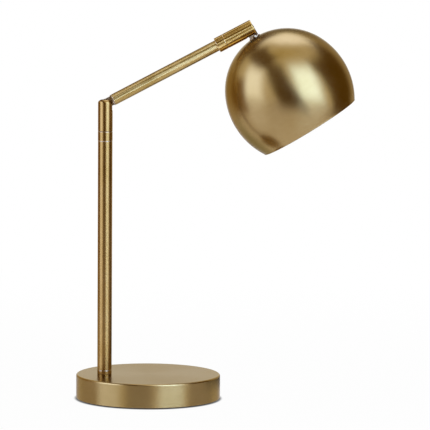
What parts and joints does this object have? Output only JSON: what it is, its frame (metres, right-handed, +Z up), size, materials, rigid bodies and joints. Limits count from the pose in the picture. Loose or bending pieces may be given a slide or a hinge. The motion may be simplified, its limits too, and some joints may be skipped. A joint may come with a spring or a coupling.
{
  "type": "dome shade desk lamp",
  "caption": "Desk lamp with a round weighted base, an offset stem, a swivelling knuckle-jointed arm and a tilting domed metal shade over a small globe bulb.",
  "frame": {"origin": "centre of the base pad's underside, on the table", "axes": "+Z up along the stem; +X from the stem towards the shade; the cord inlet is at +Y, the back"},
  "size_m": [0.3063, 0.1618, 0.4207],
  "materials": {
    "satin_brass": "antique brass, satin brushed and lacquered",
    "nickel": "nickel plated, satin",
    "pad_foam": "matt black foam",
    "iron": "as cast",
    "black_rubber": "matt black",
    "flex_sheath": "black sheathed flex",
    "zinc_steel": "zinc plated",
    "spring_steel": "plain spring steel",
    "nylon": "natural nylon",
    "holder_black": "moulded black",
    "holder_insulator": "glazed off-white insulator",
    "contact_brass": "bare pressed brass",
    "cap_metal": "pressed bright",
    "bulb_black": "black vitreous insulator",
    "opal_glass": "opal white"
  },
  "bodies": {
    "base": {"base_pad": "pad_foam", "base_weight": "iron", "base_cover": "satin_brass", "cord_bush": "black_rubber", "stem_foot": "satin_brass", "stem_nipple": "zinc_steel", "stem_washer": "zinc_steel", "stem_nut": "zinc_steel", "stem_tube": "satin_brass", "stem_flex": "flex_sheath", "head_collar": "satin_brass", "head_stop_pin": "zinc_steel"},
    "head": {"head_nipple": "zinc_steel", "head_spring_washer": "spring_steel", "head_ring_nut": "zinc_steel", "head_knuckle": "satin_brass", "head_side_washers": "nylon", "head_pivot_screw": "satin_brass"},
    "arm": {"arm_tongue": "nickel", "arm_tube": "satin_brass", "arm_flex": "flex_sheath", "barrel_collar": "satin_brass", "barrel_stop_pin": "zinc_steel"},
    "barrel": {"barrel_nipple": "zinc_steel", "barrel_spring_washer": "spring_steel", "barrel_ring_nut": "zinc_steel", "barrel_knuckle": "satin_brass", "barrel_side_washers": "nylon", "barrel_pivot_screw": "satin_brass"},
    "shade": {"shade_tongue": "nickel", "shade_dome": "satin_brass", "holder_cup": "satin_brass", "holder_washer": "zinc_steel", "holder_nut": "zinc_steel", "holder_body": "holder_black", "holder_core": "holder_insulator", "holder_shell": "contact_brass", "holder_contact": "contact_brass", "holder_flex": "flex_sheath", "bulb_cap": "cap_metal", "bulb_insulator": "bulb_black", "bulb_contact": "cap_metal", "bulb_globe": "opal_glass"}
  },
  "joints": [
    {"name": "head_swivel", "type": "hinge", "parent": "base", "child": "head", "pos_m": [-0.0486, 0, 0.297], "axis": [0, 0, 1], "range_deg": [-160, 160]},
    {"name": "arm_tilt", "type": "hinge", "parent": "head", "child": "arm", "pos_m": [-0.0486, 0, 0.3272], "axis": [0, -1, 0], "range_deg": [-28, 62]},
    {"name": "barrel_swivel", "type": "hinge", "parent": "arm", "child": "barrel", "pos_m": [0.08331, 0, 0.39734], "axis": [0.8829, 0, 0.4695], "range_deg": [-160, 160]},
    {"name": "shade_tilt", "type": "hinge", "parent": "barrel", "child": "shade", "pos_m": [0.10945, 0, 0.41124], "axis": [0, 1, 0], "range_deg": [-86, 4]}
  ]
}
